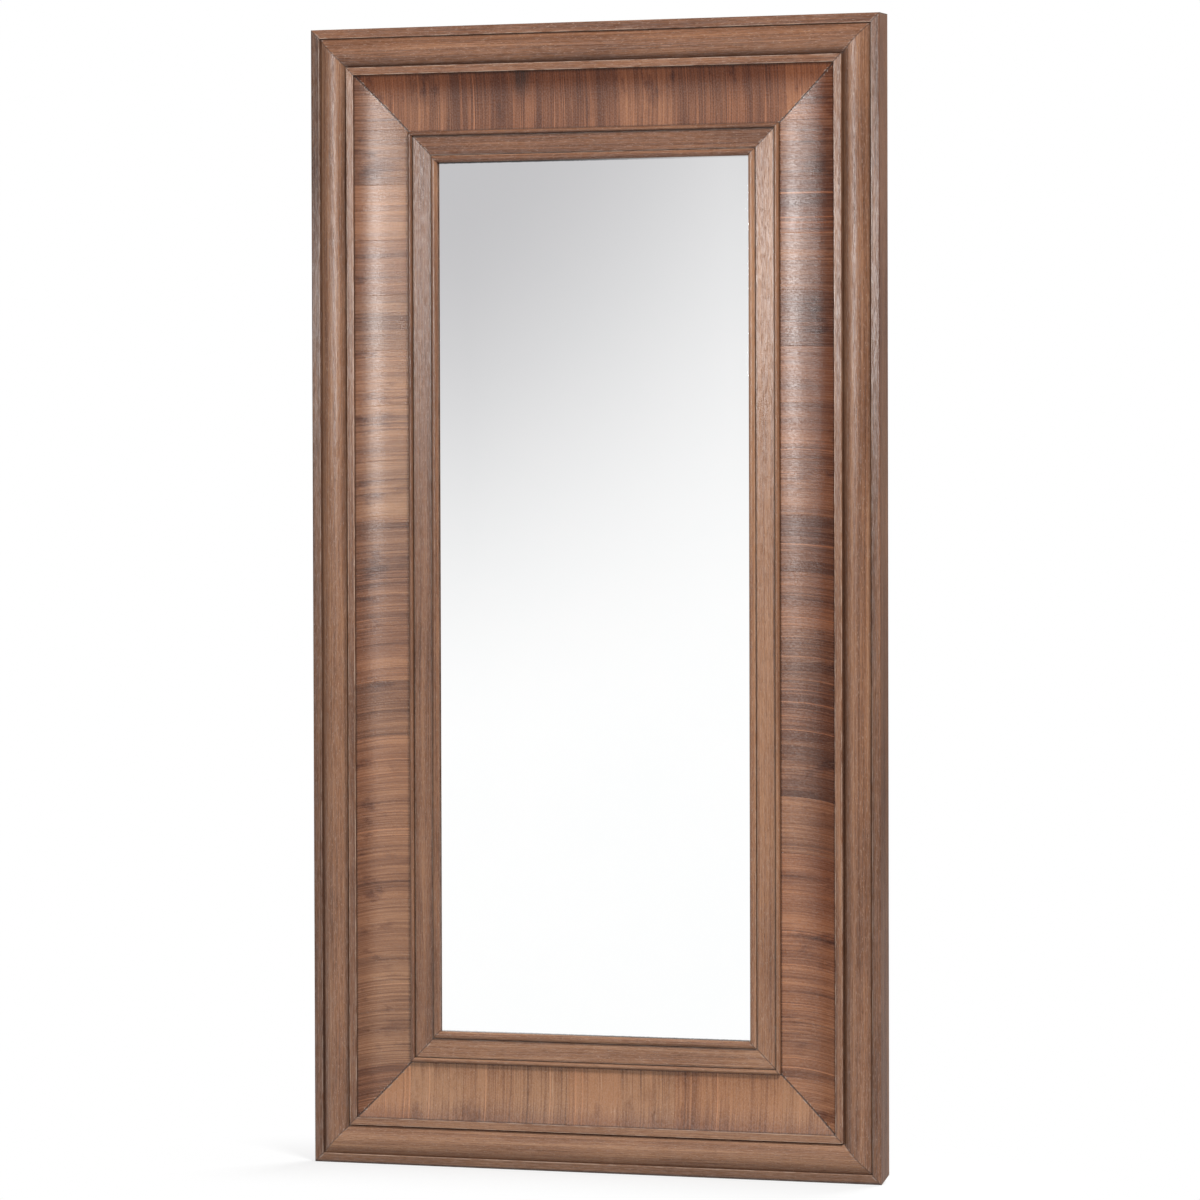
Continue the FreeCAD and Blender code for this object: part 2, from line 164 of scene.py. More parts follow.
def cove_outline():
    """The veneer of the cove."""
    start, end = OUTER + GLUE, SIGHT_START - GLUE
    insets = [start + (end - start) * i / COVE_STEPS for i in range(COVE_STEPS + 1)]
    front = [(u, cove_height(u)) for u in insets]
    back = [(u, cove_height(u, VENEER)) for u in reversed(insets)]
    return front + back


def sight_outline():
    """Bead, flat, sight bead and rabbet of the sight moulding."""
    r = BEAD / 2
    bead_end = SIGHT_START + BEAD
    flat_start = bead_end + GROOVE
    flat_end = flat_start + FLAT
    sight = flat_end + GROOVE
    points = [(SIGHT_START, RAIL_FRONT), (SIGHT_START, CREST - r)]
    points += arc(points[-1], (SIGHT_START + r, CREST), (bead_end, CREST - r), BEAD_STEPS)
    points += [(bead_end, GROOVE_FLOOR), (flat_start, GROOVE_FLOOR), (flat_start, FLAT_FRONT)]
    points += [(flat_end, FLAT_FRONT), (flat_end, GROOVE_FLOOR), (sight, GROOVE_FLOOR)]
    points += [(sight, CREST - SIGHT_RISE)]
    points += arc(points[-1], (sight + SIGHT_CREST, CREST), (RAIL, CREST - SIGHT_FALL), SIGHT_STEPS)
    points += [(RAIL, RABBET_FLOOR), (RABBET_WALL, RABBET_FLOOR), (RABBET_WALL, RAIL_FRONT)]
    return points


# Meshes

def cut_foot(bm):
    """Cuts the lower end off along the slope on which the frame leans."""
    slope = math.radians(FOOT_ANGLE)
    toe = Vector((0, -(SIDE_DEPTH - LIP_ROUND) * MM, -FRAME_HEIGHT / 2 * MM))
    down = Vector((0, math.sin(slope), -math.cos(slope)))
    geom = bm.verts[:] + bm.edges[:] + bm.faces[:]
    bmesh.ops.bisect_plane(bm, geom=geom, plane_co=toe, plane_no=down, clear_outer=True, dist=1e-7)
    rim = [e for e in bm.edges if e.is_boundary]
    if rim:
        bmesh.ops.holes_fill(bm, edges=rim, sides=0)
        bmesh.ops.recalc_face_normals(bm, faces=bm.faces)


def swept(name, side, profile, rounding, joints, footed):
    """One mitred length of a profile. The attribute rail holds the station along the side, the way round
    the profile from its outer edge, and the side's number, for the grain. The other attribute holds how
    near the point lies to an arris, for the rubbed wear, and to a crease, for the painted shade, and the
    station of its mitre."""
    outward, inward = corners(profile)
    arrises = [(p, ARRIS_REACH) for p in outward]
    creases = [(p, LIP_REACH[side] if p[0] < TORUS / 2 else CREASE_REACH) for p in inward]
    creases += [(p, CREASE_REACH) for p in joints]
    # painted shade: the hollow between the torus and the fillet shades a wide band on the torus' side
    hollow = creases + [((TORUS, TORUS_ROOT), HOLLOW_REACH[side])]
    outline = dense(eased(profile, rounding) if rounding else profile)
    turn, length, span = SIDES[side]
    half, edge = length / 2, span / 2
    ways, way = [], 0.0
    for i, p in enumerate(outline):
        if i:
            way += math.dist(p, outline[i - 1])
        ways.append(way)
    count = len(outline)
    verts, rail, wear_and_shade = [], [], []
    number = list(SIDES).index(side)
    for end in (-1, 1):
        for (u, h), way in zip(outline, ways):
            s = end * (half - u - MITRE_GAP)
            verts.append((s * MM, -h * MM, (edge - u) * MM))
            rail.append((s * MM, way * MM, number))
            shade = near((u, h), hollow if u < TORUS else creases)
            wear_and_shade.append((near((u, h), arrises), shade, (half - u) * MM))
    faces = [(i, (i + 1) % count, (i + 1) % count + count, i + count) for i in range(count)]
    faces += [tuple(range(count - 1, -1, -1)), tuple(range(count, 2 * count))]
    mesh = bpy.data.meshes.new(name)
    mesh.from_pydata(verts, [], faces)
    mesh.transform(Matrix.Rotation(math.radians(turn), 4, "Y"))
    for title, values in (("rail", rail), ("wear_and_shade", wear_and_shade)):
        layer = mesh.attributes.new(title, "FLOAT_VECTOR", "POINT")
        layer.data.foreach_set("vector", [c for v in values for c in v])
    bm = bmesh.new()
    bm.from_mesh(mesh)
    bmesh.ops.recalc_face_normals(bm, faces=bm.faces)
    if footed:
        cut_foot(bm)
    bm.to_mesh(mesh)
    bm.free()
    for p in mesh.polygons:
        p.use_smooth = True
    mesh.set_sharp_from_angle(angle=SHARP_FACES)
    piece = bpy.data.objects.new(name, mesh)
    bpy.context.scene.collection.objects.link(piece)
    return piece


# Node helpers

class Tree:
    """Short ways to add shader nodes."""

    def __init__(self, tree):
        self.tree = tree

    def add(self, kind, **values):
        node = self.tree.nodes.new(kind)
        for key, value in values.items():
            setattr(node, key, value)
        return node

    def put(self, value, socket):
        if isinstance(value, bpy.types.NodeSocket):
            self.tree.links.new(value, socket)
        else:
            socket.default_value = value

    def math(self, operation, a, b=0.0, c=0.0, clamp=False):
        node = self.add("ShaderNodeMath", operation=operation, use_clamp=clamp)
        for value, socket in zip((a, b, c), node.inputs):
            self.put(value, socket)
        return node.outputs[0]

    def times(self, first, *others):
        for other in others:
            first = self.math("MULTIPLY", first, other)
        return first

    def plus(self, first, second):
        return self.math("ADD", first, second)

    def less(self, first, second):
        return self.math("SUBTRACT", first, second)

    def total(self, *parts):
        """Sum of values, each with its share."""
        result = 0.0
        for value, share in parts:
            result = self.math("MULTIPLY_ADD", value, share, result)
        return result

    def vector(self, x, y, z=0.0):
        node = self.add("ShaderNodeCombineXYZ")
        for value, socket in zip((x, y, z), node.inputs):
            self.put(value, socket)
        return node.outputs[0]

    def split(self, vector):
        """The three parts of a vector."""
        node = self.add("ShaderNodeSeparateXYZ")
        self.put(vector, node.inputs[0])
        return node.outputs[0], node.outputs[1], node.outputs[2]

    def place(self, kind="Object"):
        return self.add("ShaderNodeTexCoord").outputs[kind]

    def noise(self, vector, scale=1.0, detail=3.0, roughness=0.5, distortion=0.0):
        node = self.add("ShaderNodeTexNoise")
        self.put(vector, node.inputs["Vector"])
        for key, value in (("Scale", scale), ("Detail", detail), ("Roughness", roughness),
                           ("Distortion", distortion)):
            self.put(value, node.inputs[key])
        return node.outputs["Fac"]

    def white(self, w):
        node = self.add("ShaderNodeTexWhiteNoise", noise_dimensions="1D")
        self.put(w, node.inputs["W"])
        return node.outputs["Value"]

    def span(self, value, low, high, to_low=0.0, to_high=1.0, smooth=True):
        node = self.add("ShaderNodeMapRange", interpolation_type="SMOOTHSTEP" if smooth else "LINEAR")
        for v, socket in zip((value, low, high, to_low, to_high), node.inputs):
            self.put(v, socket)
        return node.outputs[0]

    def band(self, value, start, end):
        """One between a start and an end, each given as where it's nothing and where it's full."""
        return self.times(self.span(value, *start), self.span(value, *end))

    def ramp(self, value, stops):
        node = self.add("ShaderNodeValToRGB")
        ramp = node.color_ramp
        while len(ramp.elements) < len(stops):
            ramp.elements.new(0.5)
        for element, (place, colour) in zip(ramp.elements, stops):
            element.position = place
            element.color = (*colour, 1.0)
        self.put(value, node.inputs[0])
        return node.outputs[0]

    def mix(self, factor, a, b, kind="MIX"):
        node = self.add("ShaderNodeMix", data_type="RGBA", blend_type=kind)
        self.put(factor, node.inputs[0])
        for value, socket in ((a, node.inputs[6]), (b, node.inputs[7])):
            self.put((*value, 1.0) if isinstance(value, tuple) else value, socket)
        return node.outputs[2]

    def mark(self, colour, where, strength, by):
        """The colour with marks of another one on it."""
        return self.mix(self.times(where, strength), colour, by)

    def tint(self, colour, amount, by):
        """The colour multiplied by another one, so far as the amount says."""
        return self.mix(amount, colour, by, "MULTIPLY")

    def each(self, number, values):
        """One of the values by a whole number from 0."""
        node = self.add("ShaderNodeValToRGB")
        ramp = node.color_ramp
        ramp.interpolation = "CONSTANT"
        while len(ramp.elements) < len(values):
            ramp.elements.new(0.99)
        for i, value in enumerate(values):
            ramp.elements[i].position = i / len(values)
            ramp.elements[i].color = (value, value, value, 1.0)
        self.put(self.math("MULTIPLY_ADD", number, 1.0 / len(values), 0.5 / len(values)), node.inputs[0])
        split = self.add("ShaderNodeSeparateColor")
        self.put(node.outputs[0], split.inputs[0])
        return split.outputs[0]

    def bump(self, height, strength, distance):
        node = self.add("ShaderNodeBump")
        node.inputs["Strength"].default_value = strength
        node.inputs["Distance"].default_value = distance
        self.put(height, node.inputs["Height"])
        return node.outputs[0]


def new_material(name):
    material = bpy.data.materials.new(name)
    material.use_nodes = True
    tree = Tree(material.node_tree)
    shader = material.node_tree.nodes["Principled BSDF"]
    return material, tree, shader


def srgb(r, g, b):
    """Linear colour of an 8-bit screen colour."""
    def one(c):
        c /= 255.0
        return c / 12.92 if c <= 0.04045 else ((c + 0.055) / 1.055) ** 2.4
    return one(r), one(g), one(b)


def attribute(t, title):
    """The three parts of a vector attribute."""
    return t.split(t.add("ShaderNodeAttribute", attribute_name=title).outputs["Vector"])


# Walnut: dark, middle and light wood, then its marks and painted shades, then what it is multiplied by
# where painted shade dims it, where it is clouded, and where stain and painted shade darken it
SOLID_WOOD = srgb(98, 63, 44), srgb(143, 101, 75), srgb(178, 133, 101)
LEAF_WOOD = srgb(99, 64, 45), srgb(144, 102, 75), srgb(178, 133, 100)
SOLID_PORE, LEAF_PORE = srgb(62, 40, 30), srgb(70, 46, 36)
SOLID_FLECK, LEAF_FLECK = srgb(200, 172, 152), srgb(208, 182, 162)
SOLID_CREASE_SHADE, LEAF_CREASE_SHADE = srgb(52, 34, 26), srgb(50, 32, 24)
TAN_STREAK, DARK_STREAK = srgb(202, 150, 114), srgb(88, 57, 44)
MITRE_DARK, MITRE_CHIP = srgb(58, 38, 30), srgb(214, 194, 180)
RUBBED, SCRATCHED, TOE_SHADE_DARK = srgb(208, 180, 160), srgb(206, 176, 154), srgb(52, 38, 31)
BURR_DARK, SEAM_DARK = srgb(36, 26, 23), srgb(74, 48, 36)
SOLID_WARM, LEAF_WARM, LEAF_ROSY = srgb(255, 240, 226), srgb(255, 234, 222), srgb(255, 232, 214)
DIMMED, CLOUDED, STAIN_AND_SHADE_TINT = srgb(150, 140, 134), srgb(160, 126, 106), srgb(168, 132, 106)
# Plain wood as dark and light, its dark fibres, the board, zinc from tarnished to bright, and the silver
PLAIN_WOOD = srgb(158, 124, 86), srgb(212, 182, 140)
BEECH_WOOD = srgb(176, 134, 92), srgb(214, 178, 134)
FIBRE_DARK = srgb(96, 70, 46)
BOARD_DARK, BOARD_LIGHT = srgb(112, 84, 58), srgb(168, 132, 96)
ZINC_DULL, ZINC_PLAIN, ZINC_BRIGHT = srgb(150, 146, 134), srgb(196, 194, 188), srgb(214, 210, 196)
SILVER_HAZE, SILVER_CLEAR, SILVER_SHADOW_LINE = srgb(253, 254, 254), srgb(255, 255, 255), srgb(46, 40, 37)
# The tones that come out as the darkest and the lightest wood
SOLID_RANGE, LEAF_RANGE, BARE_RANGE, BOARD_RANGE = (0.43, 0.67), (0.39, 0.62), (0.34, 0.68), (0.34, 0.66)

# Values by side: top, right, bottom, left. A tone at TONE_ZERO leaves the wood as it is
TONE_ZERO = 0.10
OUTER_TONE, SIGHT_TONE = (0.055, 0.075, 0.135, 0.085), (0.035, 0.14, 0.135, 0.055)
LEAF_TONE = (0.046, 0.074, 0.160, 0.124)
SOLID_WARMTH, LEAF_WARMTH = (0.60, 0.25, 0.0, 0.10), (0.80, 0.55, 0.0, 0.05)
# Painted shade on the lip, and at the toe of the bottom rail
LIP_DIM, TOE_SHADE_BY_SIDE = (0.0, 0.26, 0.55, 0.45), (0.0, 0.0, 0.80, 0.0)
RIGHT_ONLY, LEFT_ONLY = (0.0, 1.0, 0.0, 0.0), (0.0, 0.0, 0.0, 1.0)
# Paler ends and foot, and a painted highlight along the middle of the bottom rail's cove
PALE_FOOT, PALE_ENDS, MIDDLE_HIGHLIGHT = (0.0, 0.060, 0.0, 0.0), (0.070, 0.0, 0.0, 0.0), (0.0, 0.0, 0.038, 0.0)
CLOUD_STRENGTH = (0.75, 0.70, 0.45, 0.75)
# Darkening of the veneer towards its outer edge: partly stain, partly painted shade
STAIN_AND_SHADE_REACH, STAIN_AND_SHADE_STRENGTH = (0.70, 0.84, 0.30, 0.46), (0.74, 0.76, 0.48, 0.58)
STAIN_AND_SHADE_FADE = (0.0, 0.60, 0.0, 0.15)
SOLID_ROUGHNESS, LEAF_ROUGHNESS = (0.50, 0.22, 0.50, 0.22), (0.52, 0.20, 0.40, 0.20)
LEAF_SPECKLE, LEAF_DRY = (0.20, 0.22, 0.30, 0.60), (0.50, 0.52, 0.0, 0.35)

# Ways round the outer moulding in metres, each as where a mark is nothing and where it's full
FRONT_START, FRONT_END = (0.0400, 0.0480), (0.1540, 0.1470)
LIP_START, LIP_END = (0.0450, 0.0470), (0.0625, 0.0605)
TOE_START, TOE_END = (0.0360, 0.0440), (0.0508, 0.0486)
FLANK_END = (0.0470, 0.0440)
# The chips along a mitre, as distances from it in metres
CHIP_REACH = (0.0054, 0.0024)
# How flecked the frame's side and back are, and how dim and dry the upper end of the left lip is
SIDE_FLECKS, UPPER_DIM, UPPER_DRY = 0.25, 0.30, 0.60
# Heights over the frame's middle in metres: from and to, and the strengths there where they aren't 0 and 1
UPPER_LIP, FLANK_DIM, FLANK_DRY = (0.50, 0.82), (0.50, -0.60, 0.05, 0.42), (0.40, -0.60, 0.0, 0.85)
FIGURE_LOW, RIGHT_FOOT, WORN_FOOT = (0.85, -0.45), (-0.50, -0.80), (-0.45, -0.80)
# The veneer: the way across the cove, the figure's bend, the numbers of the leaves, stations along the top
COVE_WAY, FIGURE_BEND, FIGURE_CURVE = 0.1034, 0.012, 2.2
LEAVES_APART, FIRST_LEAF = 40.0, 100.5
TOP_ENDS = (0.21, 0.32)
BURR_STATION, BURR_REACH = 0.131, (0.024, 0.004)
# The seam between two leaves as a part of a leaf, and how far the leaves differ in tone and warmth
SEAM_EDGE, LEAF_CONTRAST, LEAF_BLUSH = (0.0042, 0.0015), 0.11, 0.55
# Places in the noise, so that no side or leaf repeats another's figure
SOLID_STEP, LEAF_STEP, LEAF_SPREAD, SIDE_STEP, SIDE_SEED = 5.37, 3.77, 9.0, 7.31, 2.0
TONE_SEED, WARMTH_SEED, DARK_SEED, FLECK_SEED, SCRATCH_SEED = 0.5, 77.5, 31.0, 11.0, 23.0
# Parts of the way across the cove, 0 at its outer edge
MIDDLE_START, MIDDLE_END = (0.24, 0.46), (0.88, 0.64)
CLOUD_FADE, BURR_FADE, DRY_FADE = (0.95, 0.2, 0.35, 1.0), (0.55, 0.10), (0.42, 0.15)
# The painted dark line in the silver, the reflected shade of the rabbet:
# distance from the sight edge, fading along it, and strength on the left
TOP_LINE, FOOT_LINE, LEFT_LINE = (0.0034, 0.0018), (0.0030, 0.0012), (0.0024, 0.0012)
TOP_FADE, FOOT_FADE, LEFT_STRENGTH = (0.26, -0.12, 0.10, 0.92), (-0.28, 0.10, 0.45, 0.80), 0.55
LINE_WAVER = 0.0012


# Materials

def mitre_line(t, colour, s, a, mitre, strength, width):
    """Darkens the joint at the mitres and chips its edges pale."""
    reach = t.less(mitre, t.math("ABSOLUTE", s))
    ragged = t.noise(t.vector(t.times(a, 330.0), mitre, 2.0), detail=3.0)
    chip = t.times(t.span(reach, *CHIP_REACH), t.span(ragged, 0.52, 0.62))
    colour = t.mark(colour, chip, 0.70 * strength, MITRE_CHIP)
    wide = t.math("MULTIPLY_ADD", ragged, 2.0 * width, width)
    dark = t.span(reach, wide, t.times(wide, 0.4))
    return t.mark(colour, dark, strength, MITRE_DARK)


def satin(t, shader, k, lengthwise, amount):
    """Stretches the sheen across the fibres."""
    upright = t.math("MODULO", k, 2.0)
    level = t.less(1.0, upright)
    x, z = (upright, level) if lengthwise else (level, upright)
    t.put(t.vector(x, 0.0, z), shader.inputs["Tangent"])
    shader.inputs["Anisotropic"].default_value = amount


def outer_marks(t, s, a, k):
    """Where the outer moulding is flecked, dimmed by painted shade, dry, and darkened by painted shade at
    the toe.
    """
    # the frame's side and back were never filled
    flecked = t.span(t.band(a, FRONT_START, FRONT_END), 0.0, 1.0, SIDE_FLECKS, 1.0, smooth=False)
    # the right side and the lip lie in shade, the left lip most of all at its upper end
    height = t.times(s, t.less(k, 2.0))
    lip = t.band(a, LIP_START, LIP_END)
    flank = t.times(t.span(a, *FLANK_END), t.each(k, RIGHT_ONLY))
    upper = t.times(t.span(height, *UPPER_LIP), t.each(k, LEFT_ONLY))
    dim = t.times(flank, t.span(height, *FLANK_DIM))
    dim = t.math("MULTIPLY_ADD", lip, t.math("MULTIPLY_ADD", upper, UPPER_DIM, t.each(k, LIP_DIM)), dim)
    # less oil went on the right side towards the floor, and on that end of the lip
    dry = t.times(flank, t.span(height, *FLANK_DRY))
    dry = t.math("MULTIPLY_ADD", t.times(lip, upper), UPPER_DRY, dry)
    # painted shade: the toe of the bottom rail is darkened where it stands on the floor
    toe_shade = t.times(t.band(a, TOE_START, TOE_END), t.each(k, TOE_SHADE_BY_SIDE))
    return flecked, dim, dry, toe_shade


def long_grain(name, seed, tones, crease_shade_strength, outer):
    """Oiled solid walnut with its grain along the rail."""
    material, t, shader = new_material(name)
    s, a, k = attribute(t, "rail")
    edge, crease, mitre = attribute(t, "wear_and_shade")
    shift = t.math("MULTIPLY_ADD", k, SOLID_STEP, seed)

    def field(along, over, detail, roughness=0.55):
        """Noise with so many ripples to the metre along the grain and across it."""
        vector = t.vector(t.math("MULTIPLY_ADD", s, along, shift), t.times(across, over), shift)
        return t.noise(vector, detail=detail, roughness=roughness)

    across = a
    sway = field(1.3, 6.0, 2.0)
    across = t.math("MULTIPLY_ADD", sway, 0.014, a)
    bands = field(0.8, 90.0, 3.0)
    lines = field(3.0, 640.0, 5.0, 0.68)
    fibre = field(46.0, 900.0, 3.0)
    cloud = field(5.0, 18.0, 3.0)
    hand = field(38.0, 260.0, 4.0)
    pore = t.span(field(85.0, 1700.0, 2.0), 0.58, 0.68)
    fleck = t.span(field(150.0, 800.0, 2.0), 0.60, 0.68)
    gloss = field(48.0, 520.0, 3.0, 0.6)
    flecked, dim, dry, toe_shade = outer_marks(t, s, a, k) if outer else (1.0, 0.0, 0.0, 0.0)

    tone = t.total((bands, 0.28), (lines, 0.46), (fibre, 0.20), (cloud, 0.16))
    tone = t.plus(tone, t.less(t.each(k, tones), TONE_ZERO))
    colour = t.ramp(t.span(tone, *SOLID_RANGE, smooth=False), list(zip((0.0, 0.5, 1.0), SOLID_WOOD)))
    colour = t.tint(colour, t.each(k, SOLID_WARMTH), SOLID_WARM)
    colour = t.mark(colour, pore, 0.55, SOLID_PORE)
    colour = t.mark(colour, t.times(fleck, 0.36), flecked, SOLID_FLECK)
    # painted shade on the right side and the lip
    colour = t.tint(colour, dim, DIMMED)
    rubbed = t.times(t.span(edge, 0.30, 0.95), t.span(hand, 0.38, 0.60))
    colour = t.mark(colour, rubbed, 0.66, RUBBED)
    # painted shade in the creases and the hollow, broken up by the grain
    shaded = t.times(t.span(crease, 0.05, 1.0), t.span(hand, 0.25, 0.60, 0.70, 1.0))
    colour = t.mark(colour, shaded, crease_shade_strength, SOLID_CREASE_SHADE)
    # painted shade at the toe of the bottom rail
    colour = t.mix(toe_shade, colour, TOE_SHADE_DARK)
    colour = mitre_line(t, colour, s, a, mitre, strength=0.45, width=0.0012)
    t.put(colour, shader.inputs["Base Color"])

    t.put(t.math("MULTIPLY_ADD", lines, 0.16, t.each(k, SOLID_ROUGHNESS)), shader.inputs["Roughness"])
    sheen = t.times(t.span(gloss, 0.38, 0.64, 0.38, 0.92), t.less(1.0, dry))
    t.put(sheen, shader.inputs["Specular IOR Level"])
    satin(t, shader, k, lengthwise=True, amount=0.55)
    relief = t.less(t.math("MULTIPLY_ADD", fibre, 0.6, t.times(lines, 0.5)), pore)
    t.put(t.bump(relief, strength=0.26, distance=0.0005), shader.inputs["Normal"])
    return material


def cross_veneer(name):
    """Walnut veneer in leaves, its grain across the rail, darker towards the outer edge by stain and
    painted shade.
    """
    material, t, shader = new_material(name)
    s, a, k = attribute(t, "rail")
    _, crease, mitre = attribute(t, "wear_and_shade")
    upright = t.math("MODULO", k, 2.0)
    depth = t.math("DIVIDE", a, COVE_WAY)
    # the figure bends towards the foot at the outer edge: +s runs down the right side and up the left one
    way = t.less(2.0, k)
    height = t.times(s, way, -1.0)
    fall = t.math("POWER", t.math("SUBTRACT", 1.0, depth, clamp=True), FIGURE_CURVE)
    bend = t.times(fall, t.span(height, *FIGURE_LOW), t.times(upright, FIGURE_BEND))
    along = t.less(s, t.times(bend, way))
    # every leaf has a number, which sets its figure, tone and warmth
    pitch = t.math("MULTIPLY_ADD", upright, (UPRIGHT_LEAF - LEVEL_LEAF) * MM, LEVEL_LEAF * MM)
    place = t.plus(t.math("DIVIDE", along, pitch), t.math("MULTIPLY_ADD", k, LEAVES_APART, FIRST_LEAF))
    leaf = t.math("FLOOR", place)
    inside = t.math("FRACT", place)
    leaf_tone = t.white(t.plus(leaf, TONE_SEED))
    leaf_warmth = t.white(t.plus(leaf, WARMTH_SEED))
    shift = t.math("MULTIPLY_ADD", leaf, LEAF_STEP, t.times(leaf_tone, LEAF_SPREAD))
    side = t.math("MULTIPLY_ADD", k, SIDE_STEP, SIDE_SEED)

    def field(along, over, lift, detail, roughness=0.55):
        """Noise with so many ripples to the metre along the rail and across it."""
        vector = t.vector(t.math("MULTIPLY_ADD", x, along, lift), t.times(a, over), lift)
        return t.noise(vector, detail=detail, roughness=roughness)

    x = along
    sway = field(12.0, 9.0, shift, 2.0)
    x = t.math("MULTIPLY_ADD", sway, 0.004, along)
    bands = field(38.0, 2.5, shift, 2.0)
    streaks = field(330.0, 3.2, shift, 3.0, 0.6)
    hair = field(1100.0, 9.0, shift, 2.0)
    pore = t.span(field(1500.0, 130.0, shift, 2.0), 0.60, 0.70)
    tan = t.span(field(215.0, 0.9, side, 1.0), 0.655, 0.695)
    dark = t.span(field(240.0, 2.0, t.plus(side, DARK_SEED), 2.0), 0.62, 0.70)
    x = s
    speck = field(520.0, 300.0, side, 3.0, 0.65)
    smoke = t.span(field(24.0, 10.0, side, 5.0, 0.68), 0.53, 0.66)
    fleck = t.span(field(420.0, 380.0, t.plus(side, FLECK_SEED), 2.0), 0.66, 0.73)
    scratch = t.span(field(520.0, 10.0, t.plus(side, SCRATCH_SEED), 2.0), 0.69, 0.73)

    tone = t.total((bands, 0.32), (streaks, 0.38), (hair, 0.24), (speck, 0.06))
    tone = t.math("MULTIPLY_ADD", t.less(leaf_tone, 0.5), LEAF_CONTRAST, tone)
    tone = t.plus(tone, t.less(t.each(k, LEAF_TONE), TONE_ZERO))
    # paler: the foot of the right rail and the ends of the top one; a painted highlight along the middle of
    # the bottom one
    tone = t.plus(tone, t.times(t.each(k, PALE_FOOT), t.span(height, *RIGHT_FOOT)))
    tone = t.plus(tone, t.times(t.each(k, PALE_ENDS), t.span(t.math("ABSOLUTE", s), *TOP_ENDS)))
    middle = t.band(depth, MIDDLE_START, MIDDLE_END)
    tone = t.math("MULTIPLY_ADD", middle, t.each(k, MIDDLE_HIGHLIGHT), tone)
    colour = t.ramp(t.span(tone, *LEAF_RANGE, smooth=False), list(zip((0.0, 0.5, 1.0), LEAF_WOOD)))
    colour = t.mark(colour, tan, 0.75, TAN_STREAK)
    colour = t.mark(colour, dark, 0.46, DARK_STREAK)
    clouded = t.times(smoke, t.span(depth, *CLOUD_FADE), t.each(k, CLOUD_STRENGTH))
    colour = t.tint(colour, clouded, CLOUDED)
    colour = t.mark(colour, pore, 0.35, LEAF_PORE)
    colour = t.mark(colour, fleck, 0.40, LEAF_FLECK)
    colour = t.mark(colour, scratch, 0.45, SCRATCHED)
    # darker towards the outer edge: partly stain, partly painted shade that is heaviest along the top and
    # right rails; it fades at the foot
    reach = t.each(k, STAIN_AND_SHADE_REACH)
    full = t.math("MULTIPLY_ADD", reach, 0.25, -0.05)
    wear_and_shade = t.times(t.each(k, STAIN_AND_SHADE_FADE), t.span(height, *WORN_FOOT))
    stain_and_shade = t.times(t.span(depth, reach, full), t.each(k, STAIN_AND_SHADE_STRENGTH), t.less(1.0, wear_and_shade))
    colour = t.tint(colour, stain_and_shade, STAIN_AND_SHADE_TINT)
    colour = t.tint(colour, t.times(leaf_warmth, LEAF_BLUSH), LEAF_ROSY)
    colour = t.tint(colour, t.each(k, LEAF_WARMTH), LEAF_WARM)
    # a burr at the outer edge of the top rail
    on_top = t.math("LESS_THAN", k, 0.5)
    burr = t.span(t.math("ABSOLUTE", t.plus(s, BURR_STATION)), *BURR_REACH)
    burr = t.times(burr, on_top, t.span(depth, *BURR_FADE), t.span(streaks, 0.40, 0.52))
    colour = t.mark(colour, burr, 0.85, BURR_DARK)
    seam = t.span(t.math("MINIMUM", inside, t.less(1.0, inside)), *SEAM_EDGE)
    colour = t.mark(colour, seam, 0.45, SEAM_DARK)
    # painted shade in the creases at the cove's ends
    colour = t.mark(colour, t.span(crease, 0.2, 1.0), 0.60, LEAF_CREASE_SHADE)
    colour = mitre_line(t, colour, s, a, mitre, strength=0.85, width=0.0015)
    t.put(colour, shader.inputs["Base Color"])

    t.put(t.math("MULTIPLY_ADD", streaks, 0.14, t.each(k, LEAF_ROUGHNESS)), shader.inputs["Roughness"])
    # less oil along the outer edge of the top and both sides
    dry = t.times(t.each(k, LEAF_DRY), t.span(depth, *DRY_FADE))
    sheen = t.times(t.span(speck, 0.38, 0.62, 0.34, 0.86), t.less(1.0, dry))
    t.put(sheen, shader.inputs["Specular IOR Level"])
    satin(t, shader, k, lengthwise=False, amount=0.50)
    relief = t.math("MULTIPLY_ADD", speck, t.each(k, LEAF_SPECKLE), t.less(t.times(streaks, 0.5), seam))
    t.put(t.bump(relief, strength=0.30, distance=0.0005), shader.inputs["Normal"])
    return material


def bare_wood(name, axis, dark, light, scale):
    """Unfinished wood for the back, its grain along one axis of the frame."""
    material, t, shader = new_material(name)
    x, deep, z = t.split(t.place())
    along, across = (x, z) if axis == "X" else (z, x)

    def field(length, over, width, depth, detail):
        """Noise with so many ripples to the metre along the grain, across it and into the wood."""
        vector = t.vector(t.times(along, length), t.times(over, width), t.times(deep, depth))
        return t.noise(vector, detail=detail)

    sway = field(2.4, across, 7.0, 1.0, 2.0)
    swayed = t.math("MULTIPLY_ADD", sway, 0.022, across)
    bands = field(0.9, swayed, scale, 60.0, 4.0)
    lines = field(5.0, swayed, scale * 6.0, 300.0, 4.0)
    fuzz = field(120.0, across, 1400.0, 1.0, 2.0)
    tone = t.total((bands, 0.58), (lines, 0.42))
    colour = t.ramp(t.span(tone, *BARE_RANGE, smooth=False), [(0.0, dark), (1.0, light)])
    colour = t.mark(colour, t.span(fuzz, 0.58, 0.72), 0.30, FIBRE_DARK)
    t.put(colour, shader.inputs["Base Color"])
    t.put(t.math("MULTIPLY_ADD", lines, 0.18, 0.58), shader.inputs["Roughness"])
    t.put(t.bump(t.less(lines, fuzz), strength=0.30, distance=0.0005), shader.inputs["Normal"])
    return material


